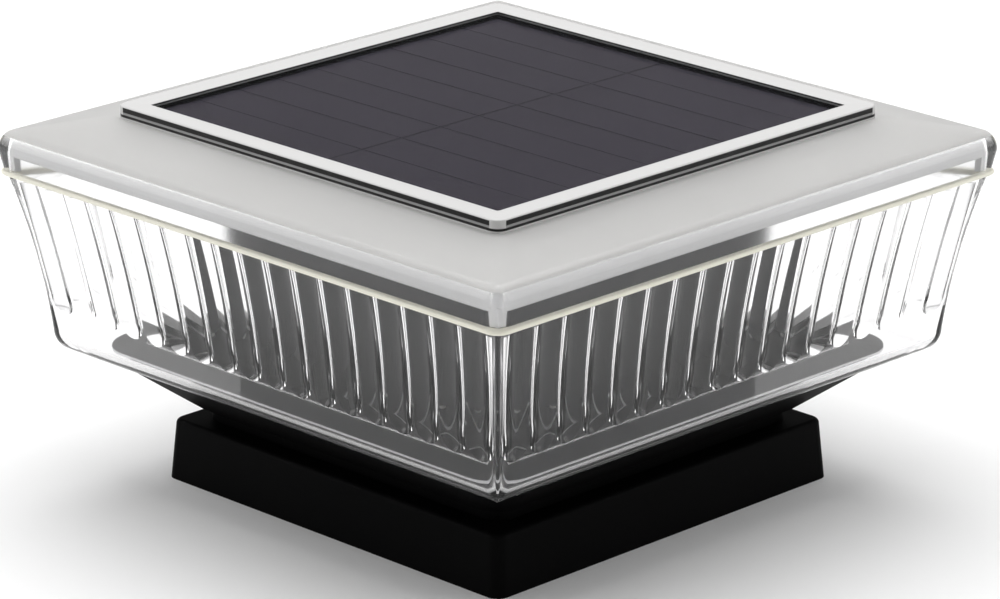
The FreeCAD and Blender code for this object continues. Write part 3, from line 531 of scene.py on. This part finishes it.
# Tray: the black dish below the lens, with a boss for each base screw.

trayShape = {
    "kneeRound": 1.5 * mm,
    "slopeRise": 9.7 * mm,
    "corner": 9.0 * mm,
    "footCorner": 6.0 * mm,
    "footShelf": 2.75 * mm,
    "wall": 2.4 * mm,
    "floor": 2.0 * mm,
    "bossHalf": 3.6 * mm,
    "bossHeight": 6.5 * mm,
    "bossRoot": 0.2 * mm,      # how far a boss reaches down into the floor
    "switchGap": 1.5 * mm,
    "screwHead": 2.8 * mm,
    "pilot": 1.5 * mm,
    "cutStart": 0.4 * mm,
    "hole": 1.8 * mm,
}


def makeTray():
    look = trayShape
    low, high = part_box("tray")
    floor, wall, corner = look["floor"], look["wall"], look["corner"]
    footHalf = baseShape["neckHalf"] + look["footShelf"]
    knee = low.z + look["slopeRise"]
    innerHalf = high.x - wall
    levels = [(footHalf, look["footCorner"], low.z)]
    levels += roundLevels(high.x, corner, knee, look["kneeRound"], start=-60, end=0, steps=8)
    levels.append((high.x, corner, high.z))
    levels += [(innerHalf, corner - wall, high.z), (innerHalf, corner - wall, knee)]
    levels.append((footHalf - wall, look["footCorner"] - wall, low.z + floor))
    bosses, holes = bmesh.new(), bmesh.new()
    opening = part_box("switch_body")[1].x + look["switchGap"]
    bossFoot = low.z + floor - look["bossRoot"]
    addRod(holes, opening, floor * 2, 0, 0, low.z - floor / 2, segments=48)
    for x, y in fourSpots(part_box("base_screws")[1].x - look["screwHead"]):
        addBlock(bosses, look["bossHalf"], look["bossHeight"] + look["bossRoot"], x, y, bossFoot)
        addRod(holes, look["pilot"], look["bossHeight"], x, y, low.z - look["cutStart"])
    for x, y in fourSpots(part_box("tray_screws")[1].x - look["screwHead"]):
        addRod(holes, look["hole"], floor * 2, x, y, low.z - floor / 2)
    return carve(drawShell(levels, segments=12), bosses, holes)


# Post base: the square skirt that drops over the post, its ledge and its neck.

baseShape = {
    "draft": 0.9 * mm,
    "corner": 2.6 * mm,
    "neckCorner": 4.0 * mm,
    "edgeRound": 1.2 * mm,
    "ledge": 2.5 * mm,
    "ledgeTop": 13.2 * mm,
    "socketHalf": 45.5 * mm,
    "socketCorner": 0.2 * mm,
    "neckHalf": 43.75 * mm,
    "openingHalf": 29.0 * mm,
    "openingCorner": 8.0 * mm,
    "ribRise": 0.9 * mm,
    "ribHalf": 0.7 * mm,
    "ribInset": 18.5 * mm,
    "ribRoot": 0.2 * mm,       # how far a rib reaches up into the ledge
    "hole": 1.8 * mm,
    "cutStart": 1.0 * mm,
    "screwHead": 2.8 * mm,
}


def makePostBase():
    look = baseShape
    low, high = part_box("post_base")
    socket, top = look["socketHalf"], look["ledgeTop"]
    roof = top - look["ledge"]
    levels = [(socket, look["socketCorner"], low.z), (high.x, look["corner"], low.z)]
    levels += roundLevels(high.x - look["draft"], look["corner"], top - look["edgeRound"],
                          look["edgeRound"], start=0, end=90, steps=8)
    levels += [(look["neckHalf"], look["neckCorner"], top),
               (look["neckHalf"], look["neckCorner"], high.z),
               (look["openingHalf"], look["openingCorner"], high.z),
               (look["openingHalf"], look["openingCorner"], roof),
               (socket, look["socketCorner"], roof)]
    ribs, holes = bmesh.new(), bmesh.new()
    holeDepth = high.z - roof + 2 * look["cutStart"]
    for x, y in fourSpots(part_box("base_screws")[1].x - look["screwHead"]):
        addRod(holes, look["hole"], holeDepth, x, y, roof - look["cutStart"])
    ribDepth = roof - low.z + look["ribRoot"]
    stretch = Matrix.Diagonal((look["ribRise"] * 2, look["ribHalf"] * 2, ribDepth, 1))
    for side in range(4):
        turn = Matrix.Rotation(side * math.pi / 2, 4, "Z")
        for sign in (1, -1):
            middle = (socket, (socket - look["ribInset"]) * sign, low.z + ribDepth / 2)
            bmesh.ops.create_cube(ribs, size=1.0,
                                  matrix=turn @ Matrix.Translation(middle) @ stretch)
    return carve(drawShell(levels, segments=10, ring=True), ribs, holes)


# Material helpers.

def newMaterial(name):
    material = bpy.data.materials.new(name)
    material.use_nodes = True
    return material, material.node_tree.nodes["Principled BSDF"]


def setSockets(node, values):
    for socketName, value in values.items():
        node.inputs[socketName].default_value = value


def addNode(tree, kind, values=None, **settings):
    node = tree.nodes.new(kind)
    for setting, value in settings.items():
        setattr(node, setting, value)
    if values:
        setSockets(node, values)
    return node


def link(tree, source, output, target, socket):
    tree.links.new(source.outputs[output], target.inputs[socket])


def startGroup(name, floats, outputs):
    group = bpy.data.node_groups.new(name, "ShaderNodeTree")
    for socketName, default in floats.items():
        group.interface.new_socket(socketName, in_out="INPUT",
                                   socket_type="NodeSocketFloat").default_value = default
    for socketName, kind in outputs.items():
        group.interface.new_socket(socketName, in_out="OUTPUT", socket_type=kind)
    return group, group.nodes.new("NodeGroupInput"), group.nodes.new("NodeGroupOutput")


def makeGrainGroup():
    # fine moulded grain: a bump normal, and a mask that varies slowly over the surface
    group, inputs, outputs = startGroup(
        "mouldedGrain", {"Scale": 900.0, "Strength": 0.1, "Cloud Scale": 40.0},
        {"Normal": "NodeSocketVector", "Mask": "NodeSocketFloat"})
    place = addNode(group, "ShaderNodeTexCoord")
    grain = addNode(group, "ShaderNodeTexNoise", {"Detail": 3.0})
    cloud = addNode(group, "ShaderNodeTexNoise", {"Detail": 4.0})
    bump = addNode(group, "ShaderNodeBump", {"Distance": 0.05 * mm})
    link(group, place, "Object", grain, "Vector")
    link(group, place, "Object", cloud, "Vector")
    link(group, inputs, "Scale", grain, "Scale")
    link(group, inputs, "Cloud Scale", cloud, "Scale")
    link(group, inputs, "Strength", bump, "Strength")
    link(group, grain, "Fac", bump, "Height")
    link(group, bump, "Normal", outputs, "Normal")
    link(group, cloud, "Fac", outputs, "Mask")
    return group


def makeReachGroup():
    # height above ground, and the larger and smaller of |x| and |y|, which follow the
    # square rings that the lamp is made of
    group, inputs, outputs = startGroup(
        "squareReach", {},
        {"Height": "NodeSocketFloat", "Reach": "NodeSocketFloat", "Along": "NodeSocketFloat"})
    place = addNode(group, "ShaderNodeTexCoord")
    parts = addNode(group, "ShaderNodeSeparateXYZ")
    absX = addNode(group, "ShaderNodeMath", operation="ABSOLUTE")
    absY = addNode(group, "ShaderNodeMath", operation="ABSOLUTE")
    reach = addNode(group, "ShaderNodeMath", operation="MAXIMUM")
    along = addNode(group, "ShaderNodeMath", operation="MINIMUM")
    link(group, place, "Object", parts, "Vector")
    link(group, parts, "X", absX, 0)
    link(group, parts, "Y", absY, 0)
    for chosen in (reach, along):
        link(group, absX, 0, chosen, 0)
        link(group, absY, 0, chosen, 1)
    link(group, parts, "Z", outputs, "Height")
    link(group, reach, 0, outputs, "Reach")
    link(group, along, 0, outputs, "Along")
    return group


grainGroup = makeGrainGroup()
reachGroup = makeReachGroup()


def addGrain(material, shader, roughness, scale=900.0, strength=0.15, spread=0.08):
    # the roughness varies about a middle value
    tree = material.node_tree
    grain = addNode(tree, "ShaderNodeGroup", node_tree=grainGroup)
    setSockets(grain, {"Scale": scale, "Strength": strength})
    vary = addNode(tree, "ShaderNodeMapRange",
                   {"To Min": max(roughness - spread, 0), "To Max": roughness + spread})
    link(tree, grain, "Mask", vary, "Value")
    link(tree, vary, "Result", shader, "Roughness")
    link(tree, grain, "Normal", shader, "Normal")


def addStep(tree, source, output, low, high, start=0.0, end=1.0):
    # 0 below the low value and 1 above the high one, or the two ends given
    step = addNode(tree, "ShaderNodeMapRange",
                   {"From Min": low, "From Max": high, "To Min": start, "To Max": end})
    link(tree, source, output, step, "Value")
    return step


def multiply(tree, first, second):
    product = addNode(tree, "ShaderNodeMath", operation="MULTIPLY")
    link(tree, first, 0, product, 0)
    link(tree, second, 0, product, 1)
    return product


mixSockets = {"low": 6, "high": 7, "result": 2}  # the colour ones among a Mix node's sockets


def mixColor(tree, mask, low, high):
    # low is a colour or another mix, and high is a colour
    mixed = addNode(tree, "ShaderNodeMix", {mixSockets["high"]: high}, data_type="RGBA")
    if isinstance(low, tuple):
        setSockets(mixed, {mixSockets["low"]: low})
    else:
        link(tree, low, mixSockets["result"], mixed, mixSockets["low"])
    link(tree, mask, 0, mixed, 0)
    return mixed


def linkColor(tree, mixed, shader):
    link(tree, mixed, mixSockets["result"], shader, "Base Color")


def makePlastic(name, color, roughness, scale=900.0, strength=0.15, gloss=0.5):
    material, shader = newMaterial(name)
    setSockets(shader, {"Base Color": (*color, 1), "Specular IOR Level": gloss})
    addGrain(material, shader, roughness, scale, strength)
    return material


def makeClearPlastic(name, color, roughness, ior):
    material, shader = newMaterial(name)
    setSockets(shader, {"Base Color": (*color, 1), "Transmission Weight": 1.0, "IOR": ior})
    addGrain(material, shader, roughness, scale=300.0, strength=0.02, spread=roughness * 0.4)
    return material


def makeFrostedPlastic(name, color, roughness, transmission):
    # milky plastic: part of the light scatters back, and the rest goes through blurred
    material, shader = newMaterial(name)
    setSockets(shader, {"Base Color": (*color, 1), "Transmission Weight": transmission,
                        "IOR": 1.46, "Specular IOR Level": 0.3})
    addGrain(material, shader, roughness, scale=1200.0, strength=0.12, spread=0.05)
    return material


def makeMetal(name, color, roughness):
    material, shader = newMaterial(name)
    setSockets(shader, {"Base Color": (*color, 1), "Metallic": 1.0})
    addGrain(material, shader, roughness, scale=1500.0, strength=0.1, spread=0.06)
    return material


bezelLook = {
    "paleColor": (0.60, 0.596, 0.592, 1),
    # the grey and dark bands are painted light: painted side shade, a painted see-through line
    # for the panel's dark edge, and a painted shadow line in the gap at the foot
    "paintedSideGrey": (0.30, 0.30, 0.30, 1),
    "paintedLineDark": (0.006, 0.006, 0.006, 1),
    "sideTop": 81.90 * mm,
    "upperPaintedSeeThrough": (80.85 * mm, 81.85 * mm),
    "lowerPaintedShadow": (79.80 * mm, 80.35 * mm),
    "lineEnd": 53.6 * mm,      # the upper line stops short of the corners
    "blur": 0.06 * mm,
    "roughness": 0.22,
    "gloss": 0.25,
}


def makeBezelMaterial():
    # pale frame with painted light on its sides: a grey band of painted side shade, a dark line
    # painted for the panel's edge as if seen through clear plastic, and a dark line of painted
    # shadow in the gap at its foot
    look = bezelLook
    material, shader = newMaterial("bezelPaintedShade")
    tree = material.node_tree
    reach = addNode(tree, "ShaderNodeGroup", node_tree=reachGroup)
    blur = look["blur"]

    def fadeIn(output, middle):
        return addStep(tree, reach, output, middle - blur, middle + blur)

    def fadeOut(output, middle):
        return addStep(tree, reach, output, middle - blur, middle + blur, 1.0, 0.0)

    def band(low, high):
        return multiply(tree, fadeIn("Height", low), fadeOut("Height", high))

    short = fadeOut("Along", look["lineEnd"])
    # painted side shade: the sides greyed from the foot line up to near the top, short of the
    # corners
    side = multiply(tree, band(look["lowerPaintedShadow"][0], look["sideTop"]), short)
    color = mixColor(tree, side, look["paleColor"], look["paintedSideGrey"])
    # painted see-through: the panel's dark edge drawn as a dark line, short of the corners
    upper = multiply(tree, band(*look["upperPaintedSeeThrough"]), short)
    color = mixColor(tree, upper, color, look["paintedLineDark"])
    # painted shadow: the gap at the frame's foot drawn as a dark line all round
    color = mixColor(tree, band(*look["lowerPaintedShadow"]), color, look["paintedLineDark"])
    linkColor(tree, color, shader)
    setSockets(shader, {"Specular IOR Level": look["gloss"]})
    addGrain(material, shader, look["roughness"], scale=500.0, strength=0.03)
    return material


cellLook = {
    "color": (0.027, 0.0245, 0.031, 1),
    "line": (0.013, 0.0115, 0.016, 1),
    "linePitch": 1.8 * mm,
    "waveRun": 0.314,          # a wave texture's pitch at a scale of 1
    "lineBand": (0.7, 1.0),
    "speckScale": 1500.0,
    "speckBand": (0.35, 0.6),
    "roughness": 0.6,
}


def makeCellMaterial():
    # dark silicon with fine darker lines along each strip, broken up by a fine texture
    look = cellLook
    material, shader = newMaterial("solarCell")
    tree = material.node_tree
    place = addNode(tree, "ShaderNodeTexCoord")
    waveScale = look["waveRun"] / look["linePitch"]
    wave = addNode(tree, "ShaderNodeTexWave", {"Scale": waveScale, "Distortion": 0.0},
                   bands_direction="Y")
    speck = addNode(tree, "ShaderNodeTexNoise", {"Scale": look["speckScale"], "Detail": 2.0})
    link(tree, place, "Object", wave, "Vector")
    link(tree, place, "Object", speck, "Vector")
    mask = multiply(tree, addStep(tree, wave, "Fac", *look["lineBand"]),
                    addStep(tree, speck, "Fac", *look["speckBand"]))
    linkColor(tree, mixColor(tree, mask, look["color"], look["line"]), shader)
    setSockets(shader, {"Specular IOR Level": 0.0})
    addGrain(material, shader, look["roughness"], scale=400.0, strength=0.02)
    return material


boardLook = {
    "trace": (0.010, 0.009, 0.012, 1),
    "dark": (0.003, 0.003, 0.004, 1),
    "middleHalf": 0.6 * mm,    # the gap between the two columns is the darkest
    "fieldHalf": 49.4 * mm,
    "blur": 0.1 * mm,
    "roughness": 0.6,
}


def makeBoardMaterial():
    # near black round the cells and down the middle, and a little paler between the strips
    look = boardLook
    material, shader = newMaterial("panelBacking")
    tree = material.node_tree
    reach = addNode(tree, "ShaderNodeGroup", node_tree=reachGroup)
    field, middle, blur = look["fieldHalf"], look["middleHalf"], look["blur"]
    inside = addStep(tree, reach, "Reach", field, field + blur, 1.0, 0.0)
    aside = addStep(tree, reach, "Along", middle, middle + blur)
    color = mixColor(tree, multiply(tree, inside, aside), look["dark"], look["trace"])
    linkColor(tree, color, shader)
    setSockets(shader, {"Specular IOR Level": 0.0})
    addGrain(material, shader, look["roughness"], scale=400.0, strength=0.05)
    return material


print("materials")
blackPlastic = makePlastic("blackPlastic", (0.0021, 0.0021, 0.0022), roughness=0.55,
                           scale=1100.0, strength=0.2, gloss=0.03)
darkPlastic = makePlastic("darkPlastic", (0.012, 0.0115, 0.013), roughness=0.5, gloss=0.1)
clearLens = makeClearPlastic("clearLens", (0.975, 0.973, 0.976), roughness=0.05, ior=1.39)
clearRim = makeClearPlastic("clearRim", (0.97, 0.97, 0.97), roughness=0.14, ior=1.4)
bezelPaintedShade = makeBezelMaterial()
frostedCover = makeFrostedPlastic("frostedCover", (0.75, 0.745, 0.735), roughness=0.3,
                                  transmission=0.54)
paleRib = makeFrostedPlastic("paleRib", (0.86, 0.86, 0.87), roughness=0.3, transmission=0.25)
clearResin = makeClearPlastic("clearResin", (0.96, 0.96, 0.97), roughness=0.1, ior=1.035)
greyRubber = makePlastic("greyRubber", (0.68, 0.68, 0.69), roughness=0.6)
creamBead = makePlastic("creamBead", (0.86, 0.84, 0.72), roughness=0.4,
                        scale=600.0, strength=0.05)
foamTape = makePlastic("foamTape", (0.5, 0.5, 0.5), roughness=0.85, scale=700.0, strength=0.5)
panelBacking = makeBoardMaterial()
solarCell = makeCellMaterial()
zincScrew = makeMetal("zincScrew", (0.62, 0.62, 0.6), roughness=0.3)
whiteBoard = makePlastic("whiteBoard", (0.85, 0.85, 0.83), roughness=0.35)
ledChip = makePlastic("ledChip", (0.92, 0.78, 0.30), roughness=0.3)
greenBoard = makePlastic("greenBoard", (0.03, 0.2, 0.07), roughness=0.3)
boardPart = makePlastic("boardPart", (0.05, 0.05, 0.05), roughness=0.5)
cellSleeve = makePlastic("cellSleeve", (0.05, 0.28, 0.14), roughness=0.25)
nickelContact = makeMetal("nickelContact", (0.75, 0.73, 0.7), roughness=0.2)
switchPlastic = makePlastic("switchPlastic", (0.02, 0.02, 0.02), roughness=0.25)
buttonPlastic = makePlastic("buttonPlastic", (0.5, 0.03, 0.02), roughness=0.25)

nodeLooks = {
    "post_base": ("black_plastic", blackPlastic),
    "tray": ("black_plastic", blackPlastic),
    "lens": ("clear_lens", clearLens),
    "lens_seal": ("grey_rubber", greyRubber),
    "rim_seal": ("cream_bead", creamBead),
    "top_cover": ("frosted_cover", frostedCover),
    "panel_bezel": ("clear_bezel", bezelPaintedShade),
    "panel_tape": ("foam_tape", foamTape),
    "panel_board": ("panel_backing", panelBacking),
    "solar_cells": ("solar_cell", solarCell),
    "panel_resin": ("clear_resin", clearResin),
    "housing_seal": ("grey_rubber", greyRubber),
    "engine_housing": ("dark_plastic", darkPlastic),
    "engine_floor": ("dark_plastic", darkPlastic),
    "engine_screws": ("zinc_screw", zincScrew),
    "led_board": ("white_board", whiteBoard),
    "led_chips": ("led_chip", ledChip),
    "led_screws": ("zinc_screw", zincScrew),
    "main_board": ("green_board", greenBoard),
    "board_parts": ("board_part", boardPart),
    "board_screws": ("zinc_screw", zincScrew),
    "battery_cell": ("cell_sleeve", cellSleeve),
    "battery_holder": ("dark_plastic", darkPlastic),
    "contact_plate": ("nickel_contact", nickelContact),
    "contact_spring": ("nickel_contact", nickelContact),
    "switch_body": ("switch_plastic", switchPlastic),
    "switch_nut": ("zinc_screw", zincScrew),
    "switch_button": ("button_plastic", buttonPlastic),
    "column_seal": ("grey_rubber", greyRubber),
    "tray_screws": ("zinc_screw", zincScrew),
    "base_screws": ("zinc_screw", zincScrew),
}

# a node's new piece, the function that shapes it, and the angle over which its edges stay sharp
shaped = {
    "post_base": ("postBaseShell", makePostBase, 30),
    "tray": ("trayDish", makeTray, 30),
    "lens": ("lensGlass", makeLens, 24),
    "lens_seal": ("lensGasket", makeLensSeal, 40),
    "rim_seal": ("rimBead", makeBead, 40),
    "top_cover": ("coverRoof", makeRoof, 24),
    "panel_bezel": ("bezelFrame", makeBezel, 40),
    "panel_board": ("panelBoard", makePanelBoard, 32),
    "panel_resin": ("panelResin", makeResin, 32),
}

# the other two pieces that the cover's node becomes
coverParts = {
    "coverRib": (makeRib, 30, "frosted_cover", paleRib),
    "coverRim": (makeRim, 24, "clear_lens", clearRim),
}

skin = {
    "weldGap": 0.002 * mm,
    "leastEdge": 0.001 * mm,
    "flatAngle": math.radians(0.3),
    "sharpAngle": 32,
}


def makeSkin(nodeName):
    # a node's triangles as one skin, with its level faces joined
    bm = bmesh.new()
    bm.from_mesh(nodes[nodeName].data)
    bmesh.ops.remove_doubles(bm, verts=bm.verts, dist=skin["weldGap"])
    bmesh.ops.dissolve_degenerate(bm, dist=skin["leastEdge"], edges=bm.edges)
    bmesh.ops.dissolve_limit(bm, angle_limit=skin["flatAngle"], use_dissolve_boundaries=False,
                             verts=bm.verts, edges=bm.edges, delimit=set())
    return bm


def dressNodes():
    # shaped pieces replace the nodes that show, and a smooth skin covers each of the others
    for nodeName, (slotName, material) in nodeLooks.items():
        nodes[nodeName].data.materials.clear()
        nodes[nodeName].data.materials.append(material)
        if nodeName in shaped:
            print(nodeName)
            pieceName, makeShape, sharpAngle = shaped[nodeName]
            addPiece(pieceName, makeShape(), sharpAngle, nodeName, material)
        else:
            addPiece(nodeName + "Skin", makeSkin(nodeName), skin["sharpAngle"], nodeName,
                     material)


print("nodes")
dressNodes()
for pieceName, (makeShape, sharpAngle, slotName, material) in coverParts.items():
    addPiece(pieceName, makeShape(), sharpAngle, "top_cover", material)


# Studio: pale floor, soft lights, white surroundings, and the camera at the photograph's angle.

studio = {
    "floorHalf": 3.0,
    "floorColor": (0.93, 0.93, 0.93, 1),
    "floorRoughness": 0.9,
    "worldLight": 0.4,
    "lampAim": (0, 0, 0.045),
}

lamps = {
    "softAbove": {"place": (-0.16, 0.16, 0.95), "size": 1.1, "power": 9.6},
    "softLeft": {"place": (-0.9, -0.6, 0.6), "size": 0.9, "power": 5.0},
    "softRight": {"place": (0.7, 0.9, 0.6), "size": 0.9, "power": 3.8},
}

cameraLook = {
    "focal": 182.1,
    "sensor": 36,
    "azimuth": 45.0,
    "elevation": 18.79,
    "distance": 1.0594,
    "aimHeight": 0.040,
    "shiftX": 0.0023,
    "shiftY": -0.0024,
    "clipStart": 0.05,
    "clipEnd": 20,
}


def makeFloor():
    bm = bmesh.new()
    bmesh.ops.create_grid(bm, x_segments=1, y_segments=1, size=studio["floorHalf"])
    mesh = bpy.data.meshes.new("studioFloor")
    bm.to_mesh(mesh)
    bm.free()
    floor = bpy.data.objects.new("studioFloor", mesh)
    bpy.context.scene.collection.objects.link(floor)
    material, shader = newMaterial("floorPaint")
    setSockets(shader, {"Base Color": studio["floorColor"],
                        "Roughness": studio["floorRoughness"]})
    mesh.materials.append(material)


def makeWorld():
    # white to the camera and through glass, and a softer level for the light itself
    world = bpy.data.worlds.new("studioWorld")
    bpy.context.scene.world = world
    world.use_nodes = True
    tree = world.node_tree
    background = tree.nodes["Background"]
    background.inputs["Color"].default_value = (1, 1, 1, 1)
    path = addNode(tree, "ShaderNodeLightPath")
    seen = addNode(tree, "ShaderNodeMath", operation="MAXIMUM")
    link(tree, path, "Is Camera Ray", seen, 0)
    link(tree, path, "Is Transmission Ray", seen, 1)
    strength = addStep(tree, seen, 0, 0, 1, studio["worldLight"], 1.0)
    link(tree, strength, "Result", background, "Strength")


def makeLamps():
    for name, look in lamps.items():
        lamp = bpy.data.lights.new(name, "AREA")
        lamp.shape = "DISK"
        lamp.size = look["size"]
        lamp.energy = look["power"]
        lampObject = bpy.data.objects.new(name, lamp)
        lampObject.location = look["place"]
        toward = Vector(studio["lampAim"]) - Vector(look["place"])
        lampObject.rotation_euler = toward.to_track_quat("-Z", "Y").to_euler()
        bpy.context.scene.collection.objects.link(lampObject)


def makeCamera():
    look = cameraLook
    camera = bpy.data.cameras.new("photoCamera")
    camera.lens = look["focal"]
    camera.sensor_width = look["sensor"]
    camera.shift_x = look["shiftX"]
    camera.shift_y = look["shiftY"]
    camera.clip_start = look["clipStart"]
    camera.clip_end = look["clipEnd"]
    cameraObject = bpy.data.objects.new("photoCamera", camera)
    azimuth = math.radians(look["azimuth"])
    elevation = math.radians(look["elevation"])
    back = Vector((math.sin(azimuth) * math.cos(elevation),
                   -math.cos(azimuth) * math.cos(elevation), math.sin(elevation)))
    cameraObject.location = Vector((0, 0, look["aimHeight"])) + back * look["distance"]
    cameraObject.rotation_mode = "QUATERNION"
    cameraObject.rotation_quaternion = (-back).to_track_quat("-Z", "Y")
    bpy.context.scene.collection.objects.link(cameraObject)
    bpy.context.scene.camera = cameraObject


print("studio")
makeFloor()
makeWorld()
makeLamps()
makeCamera()
bpy.context.scene.view_settings.view_transform = "Standard"
